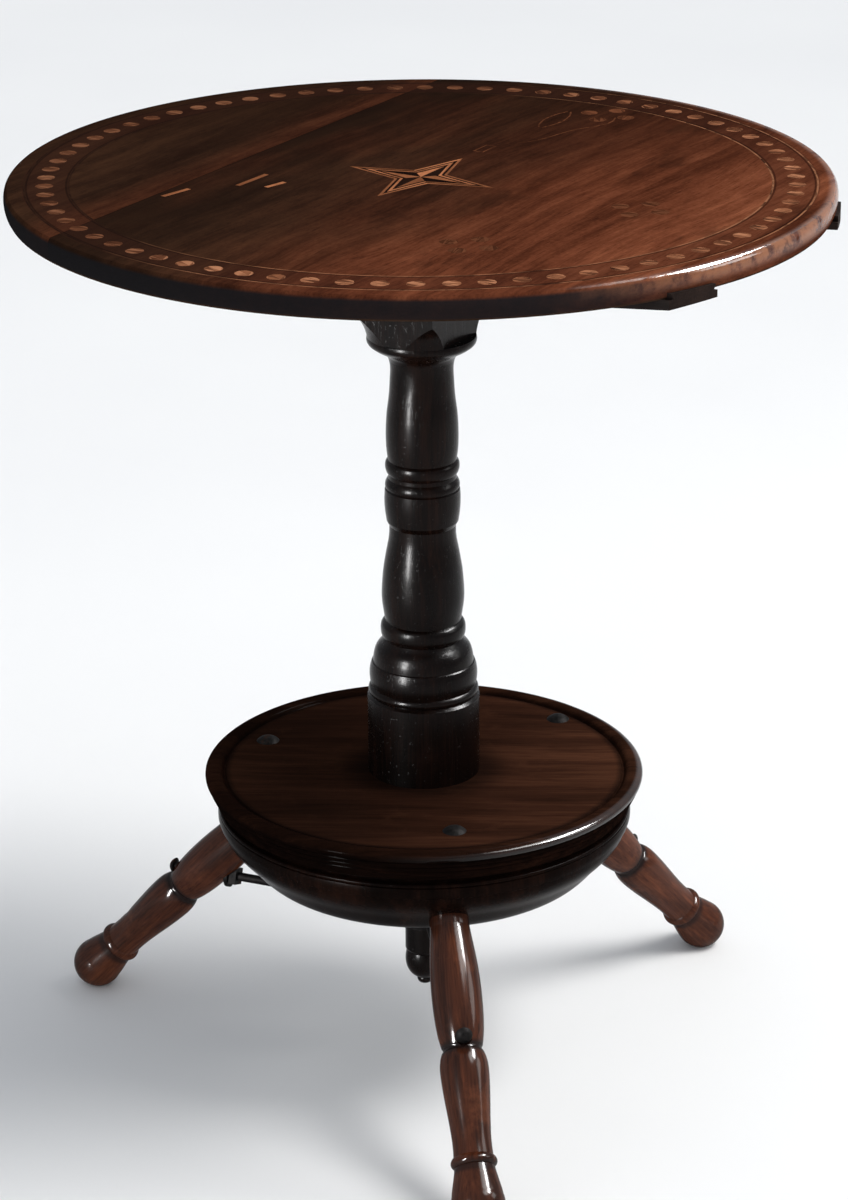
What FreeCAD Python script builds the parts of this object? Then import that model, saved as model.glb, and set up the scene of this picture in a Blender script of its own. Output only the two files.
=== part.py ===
"""Tilt-top table: an inlaid round top hinged on a turned pillar, with a moulded
round platform on three splayed legs tied by iron rods.

Millimetres, +Z up. The origin is on the floor under the pillar's axis. X runs
along the top's grain and along the hinge, Y along the battens.
"""
import FreeCAD
import Part
import math
import os

V = FreeCAD.Vector

# ---- driving dimensions --------------------------------------------------
TABLE_HEIGHT = 711.0          # floor to the top's upper face
TOP_RADIUS = 305.0
TOP_THICKNESS = 18.0
PLATFORM_HEIGHT = 240.0       # floor to the platform's panel
PLATFORM_RADIUS = 169.3
FIT = 0.05                    # gap round a piece seated in its hole or pocket
RUNNING_GAP = 0.3             # gap between faces that move past each other

# ---- top and its boards --------------------------------------------------
EDGE_WEAR = 3.0               # how far the worn rim draws in at its two faces
BOARD_JOINTS = (-158.0, 141.0)
NICK_RADIUS = 7.0
NICK_DEPTH = 1.8
NICK_ANGLES = (-161, -149, -141, -136, -127, -118, -113, -104, -96, -84, -40, 18, 71, 128, 173)

# ---- inlay ---------------------------------------------------------------
INLAY_DEPTH = 1.2
LINE_WIDTH = 1.3
OUTER_LINE_RADIUS = 290.0
INNER_LINE_RADIUS = 257.5
DOT_RADIUS = 6.5
DOT_RING_RADIUS = 275.0
DOT_COUNT = 72
STAR_REACH = 61.0
STAR_WAIST = 14.0             # how far the star's inner corners stand off its arms
STAR_STRIPE = 1.9
STAR_CORE = 40                # more strips than an arm is wide
LIGHT_BANDS = {1: ((0, 1), (2, 3), (4, STAR_CORE)), -1: ((0, 1), (2, 3))}
DARK_BANDS = {1: ((1, 2), (3, 4)), -1: ((1, 2), (3, STAR_CORE))}
FLOWER_DOT_RADIUS = 6.6
FLOWER_RADIUS = 16.0
FLOWER_PLACES = ((1.0, -181.0), (-139.0, -121.0), (230.0, -32.0))
DASHES = ((-125.0, 132.0, 27.0, -11.0), (-68.0, 103.0, 37.0, -2.0), (-71.0, 81.0, 19.0, -13.0))
DASH_WIDTH = 4.0
LEAF_START = V(171.0, -5.0, 0)
LEAF_LENGTH = 54.0
LEAF_BULGE = 7.5
STEM_POINTS = ((120, -13), (146, -25), (176, -31), (205, -44), (226, -41))
LINK_START = 84.0
LINK_LENGTH = 21.0
LINK_WIDTH = 9.0

# ---- battens under the top ----------------------------------------------
BATTEN_CENTRE = 116.0         # from the pillar's axis, along X
BATTEN_WIDTH = 40.0
BATTEN_DEPTH = 22.0           # below the top
BATTEN_LET_IN = 4.5           # dovetail above the top's underside
BATTEN_NECK = 33.0
DOVETAIL_FLARE = 2.0
BATTEN_TIP = 6.0              # depth left at the thinned end
BATTEN_TAPER = 150.0
BATTEN_PROUD = 2.0            # past the rim at the thinned end
BATTEN_SHORT = 22.0           # inside the rim at the other end
BATTEN_CHAMFER = 6.0
PEG_RADIUS = 4.0
PEG_RISE = 9.0                # into the top's boards
PEG_PLACES = (-115.0, 80.0, 215.0)

# ---- pillar --------------------------------------------------------------
PILLAR_RADIUS = 43.1          # plain drum standing on the platform
PILLAR_TENON_RADIUS = 28.0
HEAD_HALF_X = 40.0            # half the block's width along the hinge
HEAD_HALF_Y = 33.0
HEAD_HEIGHT = 103.0           # block and flare, below the top's underside

# ---- hinge ---------------------------------------------------------------
PIVOT_ROD_RADIUS = 5.0
PIVOT_RELIEF = 11.0           # pivot to the block's rounded edge
WASHER_RADIUS = 10.5
WASHER_THICKNESS = 2.0
RIVET_RADIUS = 7.5
RIVET_HEIGHT = 3.5

# ---- turn-button catch ---------------------------------------------------
BUTTON_LENGTH = 48.0
BUTTON_WIDTH = 16.0
BUTTON_THICKNESS = 8.0
BUTTON_OFFSET = 29.0          # pivot screw from the block's face
BUTTON_SCREW_RADIUS = 2.5
BUTTON_SCREW_RISE = 11.0
BUTTON_HEAD_RADIUS = 5.0
BUTTON_HEAD_HEIGHT = 3.0
KEEPER_WIDTH = 26.0
KEEPER_PLATE = 2.0
KEEPER_DROP = 31.0
KEEPER_LIP = 14.0             # block face to the lip's edge
KEEPER_LIP_THICKNESS = 3.0
NAIL_RADIUS = 1.4
NAIL_LENGTH = 14.0
NAIL_HEAD_RADIUS = 2.8
NAIL_HEAD_HEIGHT = 1.2

# ---- platform ------------------------------------------------------------
DISC_THICKNESS = 22.0         # panel to the disc's underside
RIM_INNER_RADIUS = 154.0
REED_FOOT = 3.0               # plain strip under the lowest reed
RIM_RISE = 2.5                # bead above the panel
BOWL_RADIUS = 160.0
BOWL_DEPTH = 58.0
BOWL_FOOT_RADIUS = 119.0      # flat underside
BOLT_PLACES = {"leg_front": (3.1, 122.7), "leg_right": (3.8, 142.5), "leg_left": (-1.0, 134.0)}
BOLT_RADIUS = 3.0
BOLT_HEAD_RADIUS = 9.0
BOLT_HEAD_HEIGHT = 4.0
BOLT_LENGTH = 64.0

# ---- legs ----------------------------------------------------------------
LEG_ANGLES = {"leg_front": -141.75, "leg_right": -21.75, "leg_left": 98.25}
LEG_SLOPE = 45.8              # degrees below level
LEG_APEX_RISE = 77.5          # legs' axes meet this far above the panel
LEG_RADIUS = 18.8             # at the upper swell
LEG_TENON_RADIUS = 15.0
LEG_TENON_COVER = 2.0         # wood between a tenon's end and the upper board
LEG_SHOULDER = 206.0          # along the leg from the apex
FOOT_RADIUS = 20.0
FOOT_FLAT = 1.5               # worn off where it stands

# ---- iron ties and drop --------------------------------------------------
TIE_HEIGHT = 118.0
TIE_RADIUS = 3.5
TIE_HEAD_RADIUS = 6.5
TIE_HEAD_HEIGHT = 4.5
TIE_WASHER_RADIUS = 9.5
TIE_WASHER_THICKNESS = 3.0
TIE_NUT_SIDE = 13.0
TIE_NUT_THICKNESS = 6.5
TIE_BROKEN = "leg_right"      # the leg whose tie has lost its head
TIE_SEAT_DEPTH = 1.2          # flats cut in a leg for the tie's head and washer
COLLAR_RADIUS = 24.0
COLLAR_HEIGHT = 15.0
DROP_RADIUS = 15.4
DROP_BOTTOM = 55.0
DROP_SPIGOT_RADIUS = 9.0
DROP_SPIGOT_RISE = 30.0

# ---- places that follow --------------------------------------------------
UNDERSIDE = TABLE_HEIGHT - TOP_THICKNESS
PIVOT_Y = PIVOT_RELIEF - HEAD_HALF_Y
PIVOT_Z = UNDERSIDE - RUNNING_GAP - PIVOT_RELIEF
HEAD_TOP = PIVOT_Z + PIVOT_RELIEF
DISC_BOTTOM = PLATFORM_HEIGHT - DISC_THICKNESS
BOWL_BOTTOM = DISC_BOTTOM - BOWL_DEPTH
LEG_APEX = PLATFORM_HEIGHT + LEG_APEX_RISE
SLOPE_SIN = math.sin(math.radians(LEG_SLOPE))
SLOPE_COS = math.cos(math.radians(LEG_SLOPE))
LEG_TENON_START = (LEG_APEX - DISC_BOTTOM + LEG_TENON_COVER
                   + LEG_TENON_RADIUS * SLOPE_COS) / SLOPE_SIN
FOOT_CENTRE = (LEG_APEX - FOOT_RADIUS + FOOT_FLAT) / SLOPE_SIN
TIE_LEG_RADIUS = (LEG_APEX - TIE_HEIGHT) * SLOPE_COS / SLOPE_SIN
BUTTON_Y = HEAD_HALF_Y + BUTTON_OFFSET
LIP_TOP = HEAD_TOP - RUNNING_GAP
BUTTON_TOP = LIP_TOP - KEEPER_LIP_THICKNESS - RUNNING_GAP
BUTTON_BOTTOM = BUTTON_TOP - BUTTON_THICKNESS


# ---- making helpers ------------------------------------------------------
def ring_place(radius, degrees, z=0.0):
    """A point on a circle round the pillar's axis."""
    turn = math.radians(degrees)
    return V(radius * math.cos(turn), radius * math.sin(turn), z)


def cylinder(radius, low, high, x=0.0, y=0.0):
    """An upright cylinder between two heights."""
    return Part.makeCylinder(radius, high - low, V(x, y, low))


def box(x0, x1, y0, y1, z0, z1):
    return Part.makeBox(x1 - x0, y1 - y0, z1 - z0, V(x0, y0, z0))


def turned(runs):
    """A solid turned on the Z axis. Each run is a list of (radius, height)
    points: two make a straight, three an arc, and more a smooth curve."""
    edges = []
    for run in runs:
        points = [V(radius, 0, height) for radius, height in run]
        if len(points) == 2:
            edges.append(Part.LineSegment(points[0], points[1]).toShape())
        elif len(points) == 3:
            edges.append(Part.Arc(*points).toShape())
        else:
            curve = Part.BSplineCurve()
            curve.interpolate(points)
            edges.append(curve.toShape())
    start = edges[0].Vertexes[0].Point
    end = edges[-1].Vertexes[-1].Point
    axis_points = [end, V(0, 0, end.z), V(0, 0, start.z), start]
    for a, b in zip(axis_points, axis_points[1:]):
        if a.distanceToPoint(b) > 1e-6:
            edges.append(Part.LineSegment(a, b).toShape())
    face = Part.Face(Part.Wire(Part.__sortEdges__(edges)))
    return face.revolve(V(0, 0, 0), V(0, 0, 1), 360)


def dome(radius, height):
    """A low domed head standing on z = 0."""
    ball = (radius ** 2 + height ** 2) / (2 * height)
    sphere = Part.makeSphere(ball, V(0, 0, height - ball))
    return sphere.common(cylinder(radius + 1, 0, height + 1))


def prism(points, low, high):
    """An upright prism on an outline of (x, y) points."""
    corners = [V(x, y, low) for x, y in points]
    face = Part.Face(Part.makePolygon(corners + corners[:1]))
    return face.extrude(V(0, 0, high - low))


def joined(shapes):
    """One shape from pieces that touch or overlap."""
    return shapes[0].multiFuse(shapes[1:]).removeSplitter() if len(shapes) > 1 else shapes[0]


def group(shapes):
    """Separate solids kept side by side in one node."""
    solids = [solid for shape in shapes for solid in shape.Solids]
    return Part.makeCompound(solids)


def cut(shape, tools):
    return shape.cut([solid for tool in tools for solid in tool.Solids])


def one_solid(shape):
    """The largest solid of a cut, so that no crumb is left beside it."""
    return max(shape.Solids, key=lambda solid: solid.Volume)


# ---- inlay ---------------------------------------------------------------
def inlay_slab(outline_face):
    """A thin inlay down from the top's face, made from a flat outline."""
    return outline_face.extrude(V(0, 0, -INLAY_DEPTH))


def line_ring(radius, grow=0.0):
    high = TABLE_HEIGHT
    low = TABLE_HEIGHT - INLAY_DEPTH
    outer = cylinder(radius + LINE_WIDTH / 2 + grow, low, high)
    return outer.cut(cylinder(radius - LINE_WIDTH / 2 - grow, low, high))


def inlay_disc(x, y, radius, grow=0.0):
    return cylinder(radius + grow, TABLE_HEIGHT - INLAY_DEPTH, TABLE_HEIGHT, x, y)


def rim_dots(grow=0.0):
    dots = []
    for index in range(DOT_COUNT):
        spot = ring_place(DOT_RING_RADIUS, 360.0 * index / DOT_COUNT)
        dots.append(inlay_disc(spot.x, spot.y, DOT_RADIUS, grow))
    return dots


def flower_dots(grow=0.0):
    dots = []
    for x, y in FLOWER_PLACES:
        for quarter in range(4):
            petal = ring_place(FLOWER_RADIUS, 90 * quarter)
            dots.append(inlay_disc(x + petal.x, y + petal.y, FLOWER_DOT_RADIUS, grow))
    return dots


def dashes(grow=0.0):
    bars = []
    for x, y, length, degrees in DASHES:
        half = length / 2 + grow
        side = DASH_WIDTH / 2 + grow
        bar = box(-half, half, -side, side, TABLE_HEIGHT - INLAY_DEPTH, TABLE_HEIGHT)
        bar.rotate(V(0, 0, 0), V(0, 0, 1), degrees)
        bar.translate(V(x, y, 0))
        bars.append(bar)
    return bars


def star_outline(grow=0.0):
    """The four-armed star as (x, y) corners, tip and waist by turns."""
    points = []
    for quarter in range(4):
        tip = ring_place(STAR_REACH + grow, 90 * quarter)
        waist = ring_place((STAR_WAIST + grow) * math.sqrt(2), 90 * quarter + 45)
        points += [(tip.x, tip.y), (waist.x, waist.y)]
    return points


def star_body(grow=0.0):
    return prism(star_outline(grow), TABLE_HEIGHT - INLAY_DEPTH, TABLE_HEIGHT)


def star_strips(bands_by_side):
    """Strips of the star that follow both edges of each arm. A band is counted
    in strip widths in from the edge."""
    low = TABLE_HEIGHT - INLAY_DEPTH
    strips = []
    for quarter in range(4):
        for side, bands in bands_by_side.items():
            tip = V(STAR_REACH, 0, 0)
            waist = V(STAR_WAIST, side * STAR_WAIST, 0)
            half = prism([(0, 0), (tip.x, tip.y), (waist.x, waist.y)], low, TABLE_HEIGHT)
            along = (waist - tip).normalize()
            inward = V(-along.y, along.x, 0) * side
            for first, last in bands:
                a = tip + inward * first * STAR_STRIPE - along * STAR_REACH
                b = waist + inward * first * STAR_STRIPE + along * STAR_REACH
                c = b + inward * (last - first) * STAR_STRIPE
                d = a + inward * (last - first) * STAR_STRIPE
                band = prism([(p.x, p.y) for p in (a, b, c, d)], low, TABLE_HEIGHT)
                piece = half.common(band)
                piece.rotate(V(0, 0, 0), V(0, 0, 1), 90 * quarter)
                strips += piece.Solids
    return group(strips)


def ribbon(points, grow=0.0):
    """A thin inlaid line along a smooth curve through (x, y) points."""
    curve = Part.BSplineCurve()
    curve.interpolate([V(x, y, 0) for x, y in points])
    left, right = [], []
    steps = 12
    first, last = curve.FirstParameter, curve.LastParameter
    half = LINE_WIDTH / 2 + grow
    for step in range(steps + 1):
        at = first + (last - first) * step / steps
        centre = curve.value(at)
        along = curve.tangent(at)[0]
        across = V(-along.y, along.x, 0) * half
        left.append((centre.x + across.x, centre.y + across.y))
        right.append((centre.x - across.x, centre.y - across.y))
    return prism(left + right[::-1], TABLE_HEIGHT - INLAY_DEPTH, TABLE_HEIGHT)


def leaf(grow=0.0):
    """A leaf outline of two bowed lines and its curling stem."""
    tip = LEAF_START + V(LEAF_LENGTH, 4.0, 0)
    middle = (LEAF_START + tip) * 0.5
    sides = []
    for side in (1, -1):
        gap = side * LINE_WIDTH
        start = (LEAF_START.x, LEAF_START.y + gap)
        bow = (middle.x, middle.y + side * LEAF_BULGE)
        end = (tip.x, tip.y + gap)
        sides.append(ribbon([start, bow, end], grow))
    return sides + [ribbon(STEM_POINTS, grow)]


def link(grow=0.0):
    """A small open chain link near the star's point."""
    low = TABLE_HEIGHT - INLAY_DEPTH
    half = LINK_WIDTH / 2
    outer = box(LINK_START - grow, LINK_START + LINK_LENGTH + grow, -half - grow, half + grow,
                low, TABLE_HEIGHT)
    inner = box(LINK_START + LINE_WIDTH + grow, LINK_START + LINK_LENGTH - LINE_WIDTH - grow,
                LINE_WIDTH - half + grow, half - LINE_WIDTH - grow, low, TABLE_HEIGHT)
    return outer.cut(inner)


def inlay_pockets():
    """Everything that is cut into the boards to take the inlay."""
    pockets = [line_ring(OUTER_LINE_RADIUS, FIT), line_ring(INNER_LINE_RADIUS, FIT)]
    pockets += rim_dots(FIT) + flower_dots(FIT) + dashes(FIT) + leaf(FIT)
    return pockets + [star_body(FIT), link(FIT)]


def inlay_nodes():
    return {
        "inlay_outer_line": line_ring(OUTER_LINE_RADIUS),
        "inlay_inner_line": line_ring(INNER_LINE_RADIUS),
        "inlay_rim_dots": group(rim_dots()),
        "inlay_flowers": group(flower_dots()),
        "inlay_dashes": group(dashes()),
        "inlay_leaf": group(leaf() + [link()]),
        "inlay_star_light": star_strips(LIGHT_BANDS),
        "inlay_star_dark": star_strips(DARK_BANDS),
    }


# ---- top -----------------------------------------------------------------
def top_disc():
    """The whole round top with its worn rim, before it is cut into boards."""
    r = TOP_RADIUS
    low, high = UNDERSIDE, TABLE_HEIGHT
    rim = [(r - EDGE_WEAR, low), (r - 0.6, low + 0.3 * TOP_THICKNESS),
           (r, low + 0.6 * TOP_THICKNESS), (r - 1.0, high - 0.11 * TOP_THICKNESS),
           (r - 0.9 * EDGE_WEAR, high)]
    disc = turned([rim])
    nicks = []
    for index, degrees in enumerate(NICK_ANGLES):
        size = NICK_RADIUS * (0.6 + 0.15 * (index % 4))
        centre = ring_place(r + size - NICK_DEPTH, degrees, high + 0.2 * size)
        nicks.append(Part.makeSphere(size, centre))
    return cut(disc, nicks)


def batten_blank(grow=0.0):
    """One batten's full section along Y, centred on X, before its ends are cut."""
    half = BATTEN_WIDTH / 2
    neck = BATTEN_NECK / 2 + grow
    flare = neck + DOVETAIL_FLARE
    bottom = UNDERSIDE - BATTEN_DEPTH
    tail_top = UNDERSIDE + BATTEN_LET_IN + grow
    section = [(-half, bottom + BATTEN_CHAMFER), (BATTEN_CHAMFER - half, bottom),
               (half - BATTEN_CHAMFER, bottom), (half, bottom + BATTEN_CHAMFER),
               (half, UNDERSIDE), (neck, UNDERSIDE), (flare, tail_top), (-flare, tail_top),
               (-neck, UNDERSIDE), (-half, UNDERSIDE)]
    corners = [V(x, -TOP_RADIUS * 1.1, z) for x, z in section]
    face = Part.Face(Part.makePolygon(corners + corners[:1]))
    return face.extrude(V(0, TOP_RADIUS * 2.2, 0))


def batten_groove(x):
    """The dovetail groove in the boards, open at the thinned end."""
    blank = batten_blank(FIT)
    blank.translate(V(x, 0, 0))
    stopped = cylinder(TOP_RADIUS - BATTEN_SHORT + FIT, UNDERSIDE, TABLE_HEIGHT)
    open_end = box(x - BATTEN_WIDTH, x + BATTEN_WIDTH, -2 * TOP_RADIUS, 0, UNDERSIDE, TABLE_HEIGHT)
    return blank.common(stopped.fuse(open_end))


def peg(x, y, grow=0.0):
    return cylinder(PEG_RADIUS + grow, UNDERSIDE - BATTEN_DEPTH, UNDERSIDE + PEG_RISE + grow, x, y)


def peg_places():
    return [(side * BATTEN_CENTRE, y) for side in (-1, 1) for y in PEG_PLACES]


def pivot_cylinder(radius, x0, x1):
    """A cylinder on the hinge's axis."""
    return Part.makeCylinder(radius, x1 - x0, V(x0, PIVOT_Y, PIVOT_Z), V(1, 0, 0))


def batten(x):
    """A batten cut to the rim, thinned towards its -Y end, bored for pegs and rod."""
    blank = batten_blank()
    blank.translate(V(x, 0, 0))
    y_end = -math.sqrt((TOP_RADIUS + BATTEN_PROUD) ** 2 - BATTEN_CENTRE ** 2)
    low = UNDERSIDE - BATTEN_DEPTH
    rim = cylinder(TOP_RADIUS + BATTEN_PROUD, low, TABLE_HEIGHT)
    inner = cylinder(TOP_RADIUS - BATTEN_SHORT, low, TABLE_HEIGHT)
    front = box(x - BATTEN_WIDTH, x + BATTEN_WIDTH, -2 * TOP_RADIUS, 0, low, TABLE_HEIGHT)
    shaped = blank.common(rim.common(front).fuse(inner))
    drop = BATTEN_DEPTH - BATTEN_TIP
    wedge_outline = [V(x - BATTEN_WIDTH, y_end + BATTEN_TAPER, low - 0.01),
                     V(x - BATTEN_WIDTH, y_end - BATTEN_TAPER / 2, low + 1.5 * drop),
                     V(x - BATTEN_WIDTH, y_end - BATTEN_TAPER / 2, low - drop),
                     V(x - BATTEN_WIDTH, y_end + BATTEN_TAPER, low - drop)]
    wedge = Part.Face(Part.makePolygon(wedge_outline + wedge_outline[:1]))
    wedge = wedge.extrude(V(2 * BATTEN_WIDTH, 0, 0))
    holes = [pivot_cylinder(PIVOT_ROD_RADIUS + FIT, x - BATTEN_WIDTH, x + BATTEN_WIDTH)]
    holes += [peg(x, y, FIT) for y in PEG_PLACES]
    return one_solid(cut(shaped, [wedge] + holes))


def button_screw_hole():
    return cylinder(BUTTON_SCREW_RADIUS + FIT, UNDERSIDE, UNDERSIDE + BUTTON_SCREW_RISE + FIT,
                    0, BUTTON_Y)


def top_nodes():
    """The three boards, cut for inlay, battens, pegs and the button's screw."""
    tools = inlay_pockets() + [batten_groove(side * BATTEN_CENTRE) for side in (-1, 1)]
    tools += [peg(x, y, FIT) for x, y in peg_places()] + [button_screw_hole()]
    disc = cut(top_disc(), tools)
    reach = 1.1 * TOP_RADIUS
    bounds = (-reach,) + BOARD_JOINTS + (reach,)
    names = ("top_board_right", "top_board_middle", "top_board_left")
    boards = {}
    for name, low_y, high_y in zip(names, bounds, bounds[1:]):
        slab = box(-reach, reach, low_y, high_y, UNDERSIDE - 1, TABLE_HEIGHT + 1)
        boards[name] = one_solid(disc.common(slab))
    boards["batten_near"] = batten(-BATTEN_CENTRE)
    boards["batten_far"] = batten(BATTEN_CENTRE)
    boards["batten_pegs"] = group([peg(x, y) for x, y in peg_places()])
    return boards


# ---- hinge and catch -----------------------------------------------------
def pivot_rod():
    """The iron hinge rod, riveted over a washer at each end."""
    end = BATTEN_CENTRE + BATTEN_WIDTH / 2 + WASHER_THICKNESS
    pieces = [pivot_cylinder(PIVOT_ROD_RADIUS, -end, end)]
    for side in (-1, 1):
        head = dome(RIVET_RADIUS, RIVET_HEIGHT)
        head.rotate(V(0, 0, 0), V(0, 1, 0), 90 * side)
        head.translate(V(side * end, PIVOT_Y, PIVOT_Z))
        pieces.append(head)
    return joined(pieces)


def pivot_washers():
    washers = []
    for side in (-1, 1):
        face = side * (BATTEN_CENTRE + BATTEN_WIDTH / 2)
        x0, x1 = sorted((face, face + side * WASHER_THICKNESS))
        hole = pivot_cylinder(PIVOT_ROD_RADIUS + FIT, x0, x1)
        washers.append(pivot_cylinder(WASHER_RADIUS, x0, x1).cut(hole))
    return group(washers)


def turn_button():
    """The wooden button lying along X, with a hub that spaces it off the top."""
    half = (BUTTON_LENGTH - BUTTON_WIDTH) / 2
    side = BUTTON_WIDTH / 2
    bar = box(-half, half, BUTTON_Y - side, BUTTON_Y + side, BUTTON_BOTTOM, BUTTON_TOP)
    ends = [cylinder(side, BUTTON_BOTTOM, BUTTON_TOP, x, BUTTON_Y) for x in (-half, half)]
    hub = cylinder(side, BUTTON_BOTTOM, UNDERSIDE - RUNNING_GAP, 0, BUTTON_Y)
    bore = cylinder(BUTTON_SCREW_RADIUS + FIT, BUTTON_BOTTOM, UNDERSIDE, 0, BUTTON_Y)
    return joined([bar, hub] + ends).cut(bore)


def turn_button_screw():
    head = dome(BUTTON_HEAD_RADIUS, BUTTON_HEAD_HEIGHT)
    head.rotate(V(0, 0, 0), V(1, 0, 0), 180)
    face = BUTTON_BOTTOM - RUNNING_GAP
    head.translate(V(0, BUTTON_Y, face))
    shank = cylinder(BUTTON_SCREW_RADIUS, face, UNDERSIDE + BUTTON_SCREW_RISE, 0, BUTTON_Y)
    return joined([head, shank])


def nail_places():
    height = LIP_TOP - KEEPER_DROP + 2 * NAIL_HEAD_RADIUS
    return [(side * KEEPER_WIDTH / 3, height) for side in (-1, 1)]


def nail_cylinder(x, z, radius, y0, y1):
    return Part.makeCylinder(radius, y1 - y0, V(x, y0, z), V(0, 1, 0))


def keeper():
    """The iron angle on the block's face that the button turns under."""
    half = KEEPER_WIDTH / 2
    face = HEAD_HALF_Y
    plate = box(-half, half, face, face + KEEPER_PLATE, LIP_TOP - KEEPER_DROP, LIP_TOP)
    lip = box(-half, half, face, face + KEEPER_LIP, LIP_TOP - KEEPER_LIP_THICKNESS, LIP_TOP)
    holes = [nail_cylinder(x, z, NAIL_RADIUS + FIT, face, face + KEEPER_PLATE)
             for x, z in nail_places()]
    return cut(joined([plate, lip]), holes)


def keeper_nails():
    nails = []
    outer = HEAD_HALF_Y + KEEPER_PLATE
    for x, z in nail_places():
        head = dome(NAIL_HEAD_RADIUS, NAIL_HEAD_HEIGHT)
        head.rotate(V(0, 0, 0), V(1, 0, 0), -90)
        head.translate(V(x, outer, z))
        shank = nail_cylinder(x, z, NAIL_RADIUS, HEAD_HALF_Y - NAIL_LENGTH, outer)
        nails.append(joined([head, shank]))
    return group(nails)


# ---- pillar --------------------------------------------------------------
def pillar_runs():
    """The pillar's turned outline as (radius, height above the platform),
    drawn for a 43.1 mm drum and a 350 mm length, then fitted to the real one."""
    drawn_radius, drawn_length = 43.1, 350.0
    runs = [
        [(43.1, 0), (43.1, 62)],
        [(43.1, 62), (40.8, 64)],
        [(40.8, 64), (42.3, 67.5), (40.4, 71)],
        [(40.4, 71), (41.5, 80), (40.6, 87), (39.6, 89.8)],
        [(39.6, 89.8), (38.7, 90.6)],
        [(38.7, 90.6), (38.5, 93), (37.7, 97.5), (35.6, 102.7), (31.6, 107.6), (30.6, 109.4)],
        [(30.6, 109.4), (31.8, 111.5), (32.6, 116.5), (32, 121), (29.2, 124)],
        [(29.2, 124), (30.3, 131), (31.4, 140), (31.6, 146), (31.2, 154), (30.3, 164),
         (28.8, 174), (27.5, 181), (26.1, 188), (25.3, 196), (25.3, 200.5)],
        [(25.3, 200.5), (27.4, 204.5)],
        [(27.4, 204.5), (28.1, 209), (28.9, 218), (28.9, 224), (28.5, 229.5)],
        [(28.5, 229.5), (27.7, 230.5)],
        [(27.7, 230.5), (28.3, 232), (28.1, 234.6), (26, 238.5)],
        [(26, 238.5), (25.9, 241.5)],
        [(25.9, 241.5), (27.4, 244), (28.2, 247.5), (27.9, 250.6), (26.1, 253.2)],
        [(26.1, 253.2), (26.9, 259), (27.5, 270), (27.3, 280), (26.4, 292), (25, 303),
         (24, 318), (23.8, 326), (24.7, 331.5)],
        [(24.7, 331.5), (27.7, 336.5), (33.5, 340), (38.5, 343.2)],
        [(38.5, 343.2), (41, 346), (41, 350)],
    ]
    wide = PILLAR_RADIUS / drawn_radius
    tall = (UNDERSIDE - HEAD_HEIGHT - PLATFORM_HEIGHT) / drawn_length
    return [[(r * wide, PLATFORM_HEIGHT + z * tall) for r, z in run] for run in runs]


def pillar():
    """Turned shaft, squared head rounded for the hinge, and the long tenon."""
    runs = pillar_runs()
    neck_radius, head_bottom = runs[-1][-1]
    corner = math.hypot(HEAD_HALF_X, HEAD_HALF_Y)
    shaft = turned(runs)
    flare_top = head_bottom + 1.9 * (corner - neck_radius)
    flare = turned([[(neck_radius, head_bottom), (neck_radius + 0.35 * (corner - neck_radius),
                     head_bottom + 0.55 * (flare_top - head_bottom)), (corner + 0.5, flare_top)],
                    [(corner + 0.5, flare_top), (corner + 0.5, HEAD_TOP)]])
    block = box(-HEAD_HALF_X, HEAD_HALF_X, -HEAD_HALF_Y, HEAD_HALF_Y, head_bottom, HEAD_TOP)
    collar = cylinder(neck_radius, head_bottom, head_bottom + 0.2)
    head = flare.common(block.fuse(collar))
    tenon = cylinder(PILLAR_TENON_RADIUS, BOWL_BOTTOM, PLATFORM_HEIGHT)
    body = joined([tenon, shaft, head])
    edge = box(-HEAD_HALF_X - 1, HEAD_HALF_X + 1, -HEAD_HALF_Y - 1, PIVOT_Y, PIVOT_Z, HEAD_TOP + 1)
    edge = edge.cut(pivot_cylinder(PIVOT_RELIEF, -HEAD_HALF_X - 1, HEAD_HALF_X + 1))
    bore = pivot_cylinder(PIVOT_ROD_RADIUS + FIT, -HEAD_HALF_X - 1, HEAD_HALF_X + 1)
    nails = [nail_cylinder(x, z, NAIL_RADIUS + FIT, HEAD_HALF_Y - NAIL_LENGTH - FIT, HEAD_HALF_Y)
             for x, z in nail_places()]
    spigot = cylinder(DROP_SPIGOT_RADIUS + FIT, BOWL_BOTTOM, BOWL_BOTTOM + DROP_SPIGOT_RISE + FIT)
    return one_solid(cut(body, [edge, bore, spigot] + nails))


# ---- platform ------------------------------------------------------------
def bolt_places():
    """Each bolt is set by its own few degrees off its leg, and its own reach."""
    return [ring_place(reach, LEG_ANGLES[leg_name] + off)
            for leg_name, (off, reach) in BOLT_PLACES.items()]


def bolt_holes():
    bottom = PLATFORM_HEIGHT - BOLT_LENGTH - FIT
    return [cylinder(BOLT_RADIUS + FIT, bottom, PLATFORM_HEIGHT, p.x, p.y) for p in bolt_places()]


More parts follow.
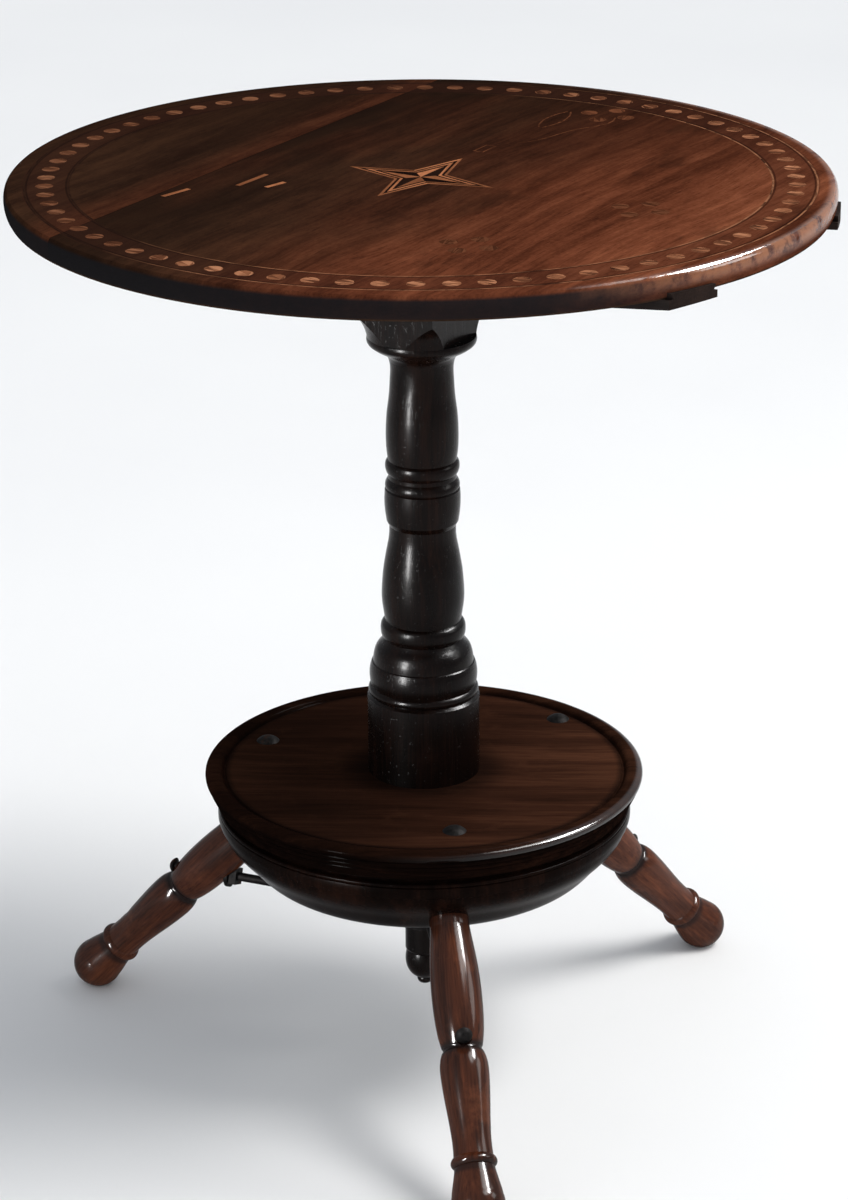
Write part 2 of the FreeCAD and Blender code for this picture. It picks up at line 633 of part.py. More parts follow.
def platform_disc():
    """The upper board: a sunk panel inside a bead, over an edge of three reeds."""
    r, top, low = PLATFORM_RADIUS, PLATFORM_HEIGHT, DISC_BOTTOM
    crest = top + RIM_RISE
    inner = RIM_INNER_RADIUS
    bead_low = top - 5.4
    reed = (bead_low - low - REED_FOOT) / 3
    runs = [
        [(r - 16, low), (r - 9.5, low)],
        [(r - 9.5, low), (r - 8.2, low + REED_FOOT)],
        [(r - 8.2, low + REED_FOOT), (r - 6.6, low + REED_FOOT + 0.5 * reed),
         (r - 7.0, bead_low - 2 * reed)],
        [(r - 7.0, bead_low - 2 * reed), (r - 5.8, bead_low - 1.9 * reed)],
        [(r - 5.8, bead_low - 1.9 * reed), (r - 4.4, bead_low - 1.5 * reed),
         (r - 4.8, bead_low - reed)],
        [(r - 4.8, bead_low - reed), (r - 3.6, bead_low - 0.9 * reed)],
        [(r - 3.6, bead_low - 0.9 * reed), (r - 2.2, bead_low - 0.5 * reed), (r - 2.8, bead_low)],
        [(r - 2.8, bead_low), (r - 0.4, bead_low + 1.8), (r, top - 0.6), (r - 2.2, crest - 1.0),
         (r - 6.5, crest), (inner + 4.2, crest - 0.5), (inner + 2.2, top - 0.4)],
        [(inner + 2.2, top - 0.4), (inner + 1.2, top - 1.6)],
        [(inner + 1.2, top - 1.6), (inner, top - 1.6)],
        [(inner, top - 1.6), (inner - 1.0, top)],
    ]
    bore = cylinder(PILLAR_TENON_RADIUS + FIT, low - 1, top + 1)
    return one_solid(cut(turned(runs), [bore] + bolt_holes()))


def leg_place(shape, degrees):
    """Move a leg drawn up the Z axis to its place under the platform."""
    shape.rotate(V(0, 0, 0), V(0, 1, 0), 90 + LEG_SLOPE)
    shape.translate(V(0, 0, LEG_APEX))
    shape.rotate(V(0, 0, 0), V(0, 0, 1), degrees)
    return shape


def platform_bowl():
    """The lower board: a narrow cove, a band with a fine line, and a bowl below."""
    top, low = DISC_BOTTOM, BOWL_BOTTOM
    band_top = top - 0.08 * BOWL_DEPTH
    line = top - 0.14 * BOWL_DEPTH
    band_low = top - 0.28 * BOWL_DEPTH
    r, foot = BOWL_RADIUS, BOWL_FOOT_RADIUS
    sweep = r - foot
    runs = [
        [(foot, low), (foot + 0.3 * sweep, low + 0.1 * BOWL_DEPTH),
         (foot + 0.6 * sweep, low + 0.33 * BOWL_DEPTH), (r - 3.5, band_low - 0.115 * BOWL_DEPTH),
         (r - 2, band_low - 1)],
        [(r - 2, band_low - 1), (r - 0.5, band_low)],
        [(r - 0.5, band_low), (r + 0.4, (band_low + line) / 2), (r - 0.3, line)],
        [(r - 0.3, line), (r - 1.3, line + 0.5)],
        [(r - 1.3, line + 0.5), (r - 0.2, (line + band_top) / 2), (r - 1.2, band_top)],
        [(r - 1.2, band_top), (r - 4, band_top + 0.4)],
        [(r - 4, band_top + 0.4), (r - 6, (band_top + top) / 2), (r - 6, top)],
    ]
    body = turned(runs)
    sockets = []
    for degrees in LEG_ANGLES.values():
        socket = cylinder(LEG_TENON_RADIUS + FIT, LEG_TENON_START - FIT, LEG_SHOULDER + 40)
        sockets.append(leg_place(socket, degrees))
    bore = cylinder(PILLAR_TENON_RADIUS + FIT, low - 1, top + 1)
    return one_solid(cut(body, [bore] + sockets + bolt_holes()))


def platform_bolts():
    bolts = []
    for p in bolt_places():
        head = dome(BOLT_HEAD_RADIUS, BOLT_HEAD_HEIGHT)
        head.translate(V(p.x, p.y, PLATFORM_HEIGHT))
        shank = cylinder(BOLT_RADIUS, PLATFORM_HEIGHT - BOLT_LENGTH, PLATFORM_HEIGHT, p.x, p.y)
        bolts.append(joined([head, shank]))
    return group(bolts)


# ---- legs and ties -------------------------------------------------------
def leg_runs():
    """A leg's turned outline as (radius, distance from the apex). It is drawn
    from the shoulder for an 18.8 mm swell and 211 mm to the foot's centre."""
    drawn_radius, drawn_length = 18.8, 211.0
    body = [
        [(15, 0), (15.6, 6), (17.7, 26), (18.8, 48), (18.5, 68), (17.2, 83), (15.4, 92.5)],
        [(15.4, 92.5), (14.5, 95), (15.6, 97)],
        [(15.6, 97), (17.7, 104), (18.1, 115), (17.0, 132), (15.2, 152), (14.5, 170),
         (14.8, 176)],
        [(14.8, 176), (16.6, 178), (17.3, 180.5), (16.4, 183), (15, 184)],
        [(15, 184), (15.6, 188), (17.6, 197), (19.1, 205)],
    ]
    wide = LEG_RADIUS / drawn_radius
    tall = (FOOT_CENTRE - LEG_SHOULDER) / drawn_length
    runs = [[(r * wide, LEG_SHOULDER + s * tall) for r, s in run] for run in body]
    runs[0][0] = (LEG_TENON_RADIUS, LEG_SHOULDER)
    tenon = [[(LEG_TENON_RADIUS - 1, LEG_TENON_START), (LEG_TENON_RADIUS, LEG_TENON_START + 1)],
             [(LEG_TENON_RADIUS, LEG_TENON_START + 1), (LEG_TENON_RADIUS, LEG_SHOULDER)]]
    ball = []
    for degrees in (-17.5, 36.0, 90.0):
        turn = math.radians(degrees)
        ball.append((FOOT_RADIUS * math.cos(turn), FOOT_CENTRE + FOOT_RADIUS * math.sin(turn)))
    ball[-1] = (0.0, FOOT_CENTRE + FOOT_RADIUS)
    runs[-1][-1] = ball[0]
    return tenon + runs + [ball]


def tie_cylinder(radius, r0, r1, degrees):
    """A level cylinder at the ties' height, reaching out along a leg."""
    start = ring_place(r0, degrees, TIE_HEIGHT)
    return Part.makeCylinder(radius, r1 - r0, start, ring_place(1, degrees))


def outer_seat():
    """Level reach of the flat cut in a leg for the tie's head."""
    return TIE_LEG_RADIUS + (LEG_RADIUS - TIE_SEAT_DEPTH) / SLOPE_SIN - TIE_SEAT_DEPTH


def inner_seat():
    """Level reach of the flat cut in a leg for the tie's washer."""
    return TIE_LEG_RADIUS - (LEG_RADIUS - TIE_SEAT_DEPTH) / SLOPE_SIN + TIE_SEAT_DEPTH


def leg(name):
    """A leg seated in its socket, bored for the tie and flat where it stands."""
    degrees = LEG_ANGLES[name]
    reach = FOOT_CENTRE + FOOT_RADIUS
    above_floor = box(-reach, reach, -reach, reach, 0, LEG_APEX)
    body = leg_place(turned(leg_runs()), degrees).common(above_floor)
    cuts = [tie_cylinder(TIE_WASHER_RADIUS + 0.5, inner_seat() - 60, inner_seat(), degrees),
            tie_cylinder(TIE_RADIUS + FIT, inner_seat() - 60, outer_seat() + 60, degrees)]
    if name != TIE_BROKEN:
        cuts.append(tie_cylinder(TIE_HEAD_RADIUS + 0.5, outer_seat(), outer_seat() + 60, degrees))
    return one_solid(cut(body, cuts + bolt_holes()))


def tie_rod(name):
    """A tie from the collar out through its leg. One has lost its domed head."""
    degrees = LEG_ANGLES[name]
    seat = outer_seat()
    shank = tie_cylinder(TIE_RADIUS, DROP_RADIUS + FIT, seat, degrees)
    if name == TIE_BROKEN:
        return shank
    head = dome(TIE_HEAD_RADIUS, TIE_HEAD_HEIGHT)
    head.rotate(V(0, 0, 0), V(0, 1, 0), 90)
    head.translate(V(seat, 0, TIE_HEIGHT))
    head.rotate(V(0, 0, 0), V(0, 0, 1), degrees)
    return joined([shank, head])


def tie_washer(degrees):
    outer = inner_seat()
    inner = outer - TIE_WASHER_THICKNESS
    ring = tie_cylinder(TIE_WASHER_RADIUS, inner, outer, degrees)
    return ring.cut(tie_cylinder(TIE_RADIUS + FIT, inner, outer, degrees))


def tie_nut(degrees):
    outer = inner_seat() - TIE_WASHER_THICKNESS
    inner = outer - TIE_NUT_THICKNESS
    half = TIE_NUT_SIDE / 2
    nut = box(inner, outer, -half, half, TIE_HEIGHT - half, TIE_HEIGHT + half)
    nut.rotate(V(0, 0, TIE_HEIGHT), V(1, 0, 0), 20)
    nut.rotate(V(0, 0, 0), V(0, 0, 1), degrees)
    return nut.cut(tie_cylinder(TIE_RADIUS + FIT, inner, outer, degrees))


def tie_collar():
    """The iron ring round the drop that the three ties run into."""
    half = COLLAR_HEIGHT / 2
    ring = cylinder(COLLAR_RADIUS, TIE_HEIGHT - half, TIE_HEIGHT + half)
    bore = cylinder(DROP_RADIUS + FIT, TIE_HEIGHT - half, TIE_HEIGHT + half)
    holes = [tie_cylinder(TIE_RADIUS + FIT, 0, COLLAR_RADIUS + 1, degrees)
             for degrees in LEG_ANGLES.values()]
    return one_solid(cut(ring, [bore] + holes))


def pendant():
    """The turned drop under the platform, its spigot up in the pillar's tenon."""
    r, low = DROP_RADIUS, DROP_BOTTOM
    ball = low + 20.5
    runs = [
        [(4.0, low), (5.8, low + 1.8), (5.6, low + 5.4)],
        [(5.6, low + 5.4), (11.5, low + 9.3), (r, ball), (r - 1.2, ball + 8.3)],
        [(r - 1.2, ball + 8.3), (r, ball + 10.5)],
        [(r, ball + 10.5), (r, BOWL_BOTTOM)],
        [(r, BOWL_BOTTOM), (DROP_SPIGOT_RADIUS, BOWL_BOTTOM)],
        [(DROP_SPIGOT_RADIUS, BOWL_BOTTOM), (DROP_SPIGOT_RADIUS, BOWL_BOTTOM + DROP_SPIGOT_RISE)],
    ]
    return turned(runs)


def base_nodes():
    nodes = {
        "pillar": pillar(),
        "platform_disc": platform_disc(),
        "platform_bowl": platform_bowl(),
        "platform_bolts": platform_bolts(),
        "pendant": pendant(),
        "tie_collar": tie_collar(),
        "tie_nuts": group([tie_nut(degrees) for degrees in LEG_ANGLES.values()]),
        "tie_washers": group([tie_washer(degrees) for degrees in LEG_ANGLES.values()]),
        "keeper": keeper(),
        "keeper_nails": keeper_nails(),
    }
    for name in LEG_ANGLES:
        nodes[name] = leg(name)
        nodes[name.replace("leg", "tie_rod")] = tie_rod(name)
    return nodes


def hinge_nodes():
    return {
        "pivot_rod": pivot_rod(),
        "pivot_washers": pivot_washers(),
        "turn_button": turn_button(),
        "turn_button_screw": turn_button_screw(),
    }


def main():
    os.makedirs("parts", exist_ok=True)
    for nodes in (top_nodes(), inlay_nodes(), hinge_nodes(), base_nodes()):
        for name, shape in nodes.items():
            shape.exportStep(os.path.join("parts", name + ".step"))


main()
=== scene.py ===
"""Looks for the tilt-top table: a finish for every piece, softened edges, a pale
studio floor, soft lights and the camera. Metres, in the table's own frame."""
import math

import bmesh
import bpy
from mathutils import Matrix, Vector


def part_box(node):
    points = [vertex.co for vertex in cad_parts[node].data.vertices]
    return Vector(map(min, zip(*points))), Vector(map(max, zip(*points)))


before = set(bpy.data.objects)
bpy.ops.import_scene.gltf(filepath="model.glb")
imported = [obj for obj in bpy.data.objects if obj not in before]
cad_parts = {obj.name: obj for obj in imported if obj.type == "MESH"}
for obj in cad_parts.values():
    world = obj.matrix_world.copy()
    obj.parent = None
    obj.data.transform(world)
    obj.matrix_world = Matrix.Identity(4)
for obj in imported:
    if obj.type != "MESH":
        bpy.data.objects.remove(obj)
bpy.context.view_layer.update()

# ---- places read from the frame -------------------------------------------
TOP_LOW, TOP_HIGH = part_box("top_board_middle")
TABLE_HEIGHT = TOP_HIGH.z
TOP_RADIUS = TOP_HIGH.x
UNDERSIDE = TOP_LOW.z
LEFT_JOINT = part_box("top_board_left")[0].y
RIGHT_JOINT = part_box("top_board_right")[1].y
PLATFORM_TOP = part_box("platform_disc")[1].z
PLATFORM_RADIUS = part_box("platform_disc")[1].x

# ---- places on the pieces ---------------------------------------------------
RIM_BAND = (0.2565, 0.2910)               # the darker band that holds the ring of dots
SCORED_LINES = (0.2592, 0.2883)           # fine lines scored beside the inlaid ones
RIM_WEAR = 0.0085                         # how far in the rim is rubbed
PANEL_EDGE = (0.1560, 0.1535)             # where the platform's panel meets its bead
DRUM_DUST_AND_SHADE = (0.075, 0.045)                # dust and painted shade round the foot of the pillar's drum
PANEL_DUST_AND_SHADE = (0.148, 0.1535)              # and against the bead
LEG_APEX = 0.3175                         # height where the legs' axes meet
LEG_SLOPE = math.radians(45.8)
LEG_ROOT = (0.222, 0.205)                 # along a leg's axis, from the apex
LEG_GROOVE = 0.3010
LEG_BEAD = 0.3915
LEG_FOOT = (0.405, 0.430)

# ---- level directions, from +X ----------------------------------------------
HANDLED_AND_LIT_WAY = math.radians(-60)           # the side that hands have polished, and the side the painted light comes from
PAINTED_LIGHT_WAY = math.radians(-104.5)         # where the top is painted lighter, as painted light
PAINTED_SHADE_WAY = math.radians(30.7)              # and where it is painted darker, as painted shade

# ---- camera ----------------------------------------------------------------
CAMERA_PLACE = Vector((-2.413, -1.437, 1.462))
CAMERA_HEADING = math.radians(30.76)     # level direction it looks in, from +X
CAMERA_PITCH = math.radians(21.096)       # downward
CAMERA_ROLL = math.radians(-0.307)
CAMERA_LENS = 118.3                       # mm, on a 36 mm frame


# ---- shader maths ----------------------------------------------------------
class Value:
    """One number that may vary over a surface. Expressions add Math nodes."""

    def __init__(self, finish, socket):
        self.finish = finish
        self.socket = socket

    def math(self, operation, *others):
        return self.finish.node("ShaderNodeMath", {"operation": operation}, [self, *others])

    def __add__(self, other):
        return self.math("ADD", other)

    def __radd__(self, other):
        return self.math("ADD", other)

    def __sub__(self, other):
        return self.math("SUBTRACT", other)

    def __rsub__(self, other):
        return self.finish.node("ShaderNodeMath", {"operation": "SUBTRACT"}, [other, self])

    def __mul__(self, other):
        return self.math("MULTIPLY", other)

    def __rmul__(self, other):
        return self.math("MULTIPLY", other)

    def __pow__(self, other):
        return self.math("POWER", other)

    def __abs__(self):
        return self.math("ABSOLUTE")

    def larger(self, other):
        return self.math("MAXIMUM", other)

    def smaller(self, other):
        return self.math("MINIMUM", other)

    def rise(self, low, high):
        """0 below low, 1 above high, smooth between; low may be the larger."""
        settings = {"interpolation_type": "SMOOTHSTEP"}
        if low < high:
            return self.finish.node("ShaderNodeMapRange", settings, [self, low, high, 0.0, 1.0])
        return self.finish.node("ShaderNodeMapRange", settings, [self, high, low, 1.0, 0.0])


class Finish:
    """One material, with its Principled shader and the table's own coordinates."""

    def __init__(self, name, **constants):
        self.material = bpy.data.materials.new(name)
        self.material.use_nodes = True
        self.tree = self.material.node_tree
        self.tree.nodes.clear()
        output = self.tree.nodes.new("ShaderNodeOutputMaterial")
        self.shader = self.tree.nodes.new("ShaderNodeBsdfPrincipled")
        self.tree.links.new(self.shader.outputs["BSDF"], output.inputs["Surface"])
        for socket, constant in constants.items():
            self.shader.inputs[socket.replace("_", " ")].default_value = constant
        self.place = self.node("ShaderNodeTexCoord", {}, [], "Object")
        self.x, self.y, self.z = (
            self.node("ShaderNodeSeparateXYZ", {}, [self.place], axis) for axis in "XYZ")

    def node(self, kind, settings, sockets, output=0):
        """A node of that kind. Settings are set first, then its sockets: a list
        by order, or a dict by name. Returns one output as a Value."""
        made = self.tree.nodes.new(kind)
        for key, setting in settings.items():
            if key == "ramp":
                self._fill_ramp(made.color_ramp, setting)
            else:
                setattr(made, key, setting)
        pairs = sockets.items() if isinstance(sockets, dict) else enumerate(sockets)
        for key, given in pairs:
            socket = made.inputs[key]
            if isinstance(given, Value):
                self.tree.links.new(given.socket, socket)
            elif given is not None:
                socket.default_value = given
        return Value(self, made.outputs[output])

    @staticmethod
    def _fill_ramp(ramp, stops):
        while len(ramp.elements) < len(stops):
            ramp.elements.new(0.5)
        for element, (at, colour) in zip(ramp.elements, stops):
            element.position = at
            element.color = (*colour, 1.0)

    def vector(self, x, y, z):
        return self.node("ShaderNodeCombineXYZ", {}, [x, y, z])

    def noise(self, place, scale=1.0, detail=4.0, roughness=0.55):
        sockets = {"Vector": place, "Scale": scale, "Detail": detail, "Roughness": roughness}
        return self.node("ShaderNodeTexNoise", {}, sockets, "Fac")

    def ramp(self, amount, stops):
        return self.node("ShaderNodeValToRGB", {"ramp": stops}, [amount], "Color")

    def mix(self, amount, first, second):
        """Two colours mixed; the sockets are the Mix node's colour ones."""
        colours = [c if isinstance(c, Value) else (*c, 1.0) for c in (first, second)]
        sockets = {0: amount, 6: colours[0], 7: colours[1]}
        return self.node("ShaderNodeMix", {"data_type": "RGBA"}, sockets, 2)

    def bump(self, height, distance):
        sockets = {"Strength": 1.0, "Distance": distance, "Height": height}
        return self.node("ShaderNodeBump", {}, sockets)

    def feed(self, **sockets):
        for socket, value in sockets.items():
            self.tree.links.new(value.socket, self.shader.inputs[socket.replace("_", " ")])

    def radius(self):
        """Distance from the pillar's axis."""
        return (self.x * self.x + self.y * self.y) ** 0.5

    def toward(self, heading):
        """Distance from the pillar's axis along a level direction."""
        return self.x * math.cos(heading) + self.y * math.sin(heading)


# ---- wood ------------------------------------------------------------------
class Grain:
    """Bands, fibres and pores of a board or turning, from its own long, cross
    and depth coordinates."""

    def __init__(self, finish, along, across, deep, seed, wander=0.012):
        sway = finish.noise(finish.vector(along * 2.3 + seed, across * 5.0, deep * 5.0), detail=2.0)
        across = across + (sway - 0.5) * wander * 2.0
        self.bands = finish.noise(
            finish.vector(along * 2.4 + seed, across * 15.0, deep * 15.0), detail=4.0, roughness=0.55)
        self.streaks = finish.noise(
            finish.vector(along * 8.0, across * 85.0 + seed, deep * 85.0), detail=4.0, roughness=0.65)
        self.fibres = finish.noise(
            finish.vector(along * 14.0, across * 620.0, deep * 620.0 + seed), detail=3.0)
        self.pores = finish.noise(
            finish.vector(along * 42.0 + seed, across * 900.0, deep * 900.0), detail=2.0).rise(0.60, 0.72)


def board_colour(f, grain, tone):
    """Figured walnut, dark on the left (board tone and painted shade) and red on the right, painted
    lighter at the front right and darker away from the camera, with old stains.
    """
    patches = f.noise(f.vector(f.x * 4.0, f.y * 9.0, 0.7), detail=3.0, roughness=0.6)
    drift = patches - 0.5
    # dark tone of the left boards, deepened with painted shade
    dark_shaded_boards = f.ramp(tone, [
        (0.32, (0.0085, 0.0042, 0.0028)), (0.45, (0.021, 0.0098, 0.0058)),
        (0.56, (0.037, 0.0165, 0.0088)), (0.70, (0.058, 0.0245, 0.0118))])
    red_boards = f.ramp(tone, [
        (0.34, (0.012, 0.0034, 0.0020)), (0.44, (0.034, 0.0094, 0.0048)),
        (0.53, (0.068, 0.0195, 0.0094)), (0.66, (0.130, 0.0400, 0.0180))])
    # paler boards for the painted light, also rubbed
    lit_rubbed_boards = f.ramp(tone, [
        (0.34, (0.034, 0.0092, 0.0046)), (0.44, (0.085, 0.0240, 0.0112)),
        (0.53, (0.155, 0.0460, 0.0210)), (0.66, (0.270, 0.0920, 0.0430))])
    # board tone and painted shade: the top goes from dark on the left to red on the right
    red_lit_side = (drift * 0.20 - f.y).rise(-0.10, 0.15)
    colour = f.mix(red_lit_side, dark_shaded_boards, red_boards)
    # painted light: the boards are made paler toward the front right, as if lit there
    painted_light_side = (f.toward(PAINTED_LIGHT_WAY) + drift * 0.14).rise(0.03, 0.27)
    colour = f.mix(painted_light_side * 0.75, colour, lit_rubbed_boards)
    # painted shade: the boards are made darker on the side away from the camera
    painted_shade_side = (f.toward(PAINTED_SHADE_WAY) + drift * 0.16).rise(-0.02, 0.26)
    colour = f.mix(painted_shade_side * 0.50, colour, (0.0105, 0.0048, 0.0030))
    from_joint = f.y - LEFT_JOINT
    left = from_joint.rise(-0.0004, 0.0004)
    warm_edge = (from_joint + drift * 0.04).rise(0.050, 0.0) * left
    colour = f.mix(warm_edge * 0.55, colour, red_boards)
    dark_edge = (drift * 0.09 - from_joint).rise(0.105, 0.010) * (1.0 - left)
    colour = f.mix(dark_edge * 0.66, colour, (0.0085, 0.0048, 0.0034))
    glow = f.noise(f.vector(f.x * 3.2, f.y * 6.0, 9.0), detail=3.0).rise(0.50, 0.68) * (1.0 - left)
    colour = f.mix(glow * (1.0 - red_lit_side) * 0.30, colour, red_boards)
    stains = f.noise(f.vector(f.x * 7.0, f.y * 17.0, 2.0), detail=4.0, roughness=0.7).rise(0.54, 0.68)
    colour = f.mix(stains * 0.50, colour, (0.013, 0.0055, 0.0036))
    colour = f.mix(grain.pores * 0.50, colour, (0.008, 0.004, 0.003))
    joints = abs(from_joint).rise(0.0007, 0.0002).larger(
        abs(f.y - RIGHT_JOINT).rise(0.0004, 0.0001) * 0.4)
    return f.mix(joints * 0.8, colour, (0.004, 0.0026, 0.002))


def rim_colour(f, colour, edge, rubbed, worn):
    """The dark band under the dots, and a rim darkened on one side with grime and painted shade, bare on
    the other.
    """
    radius = f.radius()
    inner, outer = RIM_BAND
    band = (radius - inner).rise(0.0, 0.0015) * (radius - outer).rise(0.0015, 0.0)
    colour = f.mix(band * 0.34, colour, (0.030, 0.0105, 0.0070))
    inner, outer = SCORED_LINES
    scored = abs(radius - inner).smaller(abs(radius - outer)).rise(0.0011, 0.0003)
    colour = f.mix(scored * 0.6, colour, (0.006, 0.0035, 0.0028))
    # grime and painted shade: the rim's side goes bluish dark, less so on the rubbed, lit side
    side = f.z.rise(TABLE_HEIGHT - 0.0012, TABLE_HEIGHT - 0.0040)
    grime_and_shade = side * (1.0 - rubbed * 0.8)
    colour = f.mix(grime_and_shade * 0.94, colour, (0.0125, 0.0120, 0.0130))
    bare = edge * rubbed * worn.rise(0.36, 0.56)
    return f.mix(bare * 0.50, colour, (0.38, 0.150, 0.062))


def walnut_top():
    """Old waxed walnut boards above, dry unpolished ones underneath."""
    f = Finish("walnut_top", Specular_IOR_Level=0.0, Coat_Roughness=0.10)
    grain = Grain(f, f.x, f.y, f.z, 3.1, wander=0.03)
    curl = f.noise(f.vector(f.x * 34.0, f.y * 60.0, f.z * 20.0), detail=4.0, roughness=0.7)
    speckle = f.noise(f.vector(f.x * 260.0, f.y * 420.0, f.z * 260.0), detail=2.0)
    tone = (grain.bands * 0.30 + grain.streaks * 0.36 + curl * 0.14 + speckle * 0.10
            + grain.fibres * 0.10)
    mottle = f.noise(f.place, scale=26.0, detail=5.0, roughness=0.65)
    rubbed = (f.toward(HANDLED_AND_LIT_WAY) + (mottle - 0.5) * 0.10).rise(0.08, 0.22)
    worn = f.noise(f.place, scale=60.0, detail=5.0, roughness=0.7)
    edge = (f.radius() - TOP_RADIUS).rise(-RIM_WEAR, -0.001) * f.z.rise(TABLE_HEIGHT - 0.014,
                                                                     TABLE_HEIGHT - 0.004)
    colour = rim_colour(f, board_colour(f, grain, tone), edge, rubbed, worn)
    underside = f.z.rise(UNDERSIDE + 0.0020, UNDERSIDE + 0.0008)
    unpolished = f.ramp(tone, [(0.32, (0.0120, 0.0070, 0.0048)), (0.66, (0.0560, 0.0300, 0.0185))])
    colour = f.mix(underside, colour, unpolished)
    dings = f.noise(f.vector(f.x * 95.0, f.y * 130.0, f.z * 95.0), detail=2.0).rise(0.70, 0.78)
    scratches = f.noise(f.vector(f.x * 18.0, f.y * 520.0, 5.0), detail=1.0).rise(0.71, 0.76)
    wax = f.noise(f.place, scale=9.0, detail=4.0)
    rough = 0.30 + wax * 0.20 + dings * 0.12 + scratches * 0.10
    polish = edge * rubbed * worn.rise(0.28, 0.40) * (1.0 - underside) * 0.9
    height = grain.fibres * 0.35 - grain.pores * 0.5 - dings * 0.9 - scratches * 0.3 + worn * 0.4
    f.feed(Base_Color=colour, Roughness=rough, Coat_Weight=polish, Normal=f.bump(height, 0.00022))
    return f.material


def polished_colour(f, grain, stops):
    """Banded colour with dark pores and paler rubbed patches, and how rubbed it is."""
    tone = grain.bands * 0.42 + grain.streaks * 0.38 + grain.fibres * 0.20
    colour = f.mix(grain.pores * 0.5, f.ramp(tone, stops), stops[0][1])
    rub = f.noise(f.place, scale=22.0, detail=5.0, roughness=0.65)
    colour = f.mix(rub.rise(0.55, 0.75) * 0.35, colour, stops[-1][1])
    return colour, rub


def feed_polish(f, grain, colour, rub, gloss):
    """Roughness and fine relief of a polished turning."""
    turning = f.noise(f.vector(2.0, 7.0, f.z * 900.0), detail=2.0)
    pits = f.noise(f.place, scale=330.0, detail=2.0).rise(0.66, 0.74)
    rough = gloss + rub * 0.14 + pits * 0.15
    height = grain.fibres * 0.3 + turning * 0.25 - pits * 0.7 - grain.pores * 0.3
    f.feed(Base_Color=colour, Roughness=rough, Normal=f.bump(height, 0.00016))


BLACKENED = [(0.34, (0.0012, 0.0008, 0.0007)), (0.52, (0.0052, 0.0026, 0.0019)),
             (0.68, (0.0190, 0.0075, 0.0046))]
PANEL = [(0.32, (0.0085, 0.0038, 0.0025)), (0.50, (0.0340, 0.0130, 0.0072)),
         (0.68, (0.0850, 0.0330, 0.0170))]


def turned_wood(name, gloss):
    """Near-black turned wood; gloss is how strongly it shines."""
    f = Finish(name, Specular_IOR_Level=gloss)
    grain = Grain(f, f.z, f.x, f.y, 1.7)
    colour, rub = polished_colour(f, grain, BLACKENED)
    feed_polish(f, grain, colour, rub, 0.17)
    return f.material


def platform_wood():
    """The platform's upper board: a brown panel inside a blackened, part-polished bead, with dust and
    painted shade round the drum and against the bead, and a painted shadow on the side away from the
    light.
    """
    f = Finish("platform_wood", Specular_IOR_Level=0.0, Coat_Roughness=0.13)
    along = f.toward(HANDLED_AND_LIT_WAY)
    across = f.toward(HANDLED_AND_LIT_WAY + math.pi / 2)
    grain = Grain(f, along, across, f.z, 6.2, wander=0.02)
    panel, rub = polished_colour(f, grain, PANEL)
    edge, _ = polished_colour(f, grain, BLACKENED)
    radius = f.radius()
    on_panel = radius.rise(*PANEL_EDGE)
    bead = f.z.rise(PLATFORM_TOP - 0.0060, PLATFORM_TOP - 0.0005) * 0.45
    # dust and painted shade: darker round the drum's foot and in the corner against the bead
    dust_and_shade = radius.rise(*DRUM_DUST_AND_SHADE).larger(radius.rise(*PANEL_DUST_AND_SHADE) * on_panel)
    panel = f.mix(dust_and_shade * 0.65, panel, (0.0035, 0.0026, 0.0024))
    # painted shadow: the panel is made darker on the side away from the light
    painted_shadow_side = ((rub - 0.5) * 0.08 - along).rise(-0.05, 0.10)
    panel = f.mix(painted_shadow_side * 0.45, panel, (0.0060, 0.0036, 0.0026))
    colour = f.mix(on_panel.larger(bead), edge, panel)
    handled = along.rise(-0.04, 0.10)
    crown = (f.z.rise(PLATFORM_TOP - 0.0085, PLATFORM_TOP - 0.0050)
             * (radius - PLATFORM_RADIUS).rise(-0.0060, -0.0030))
    f.feed(Coat_Weight=handled * crown * 0.7 + 0.003)
    feed_polish(f, grain, colour, rub, 0.20)
    return f.material


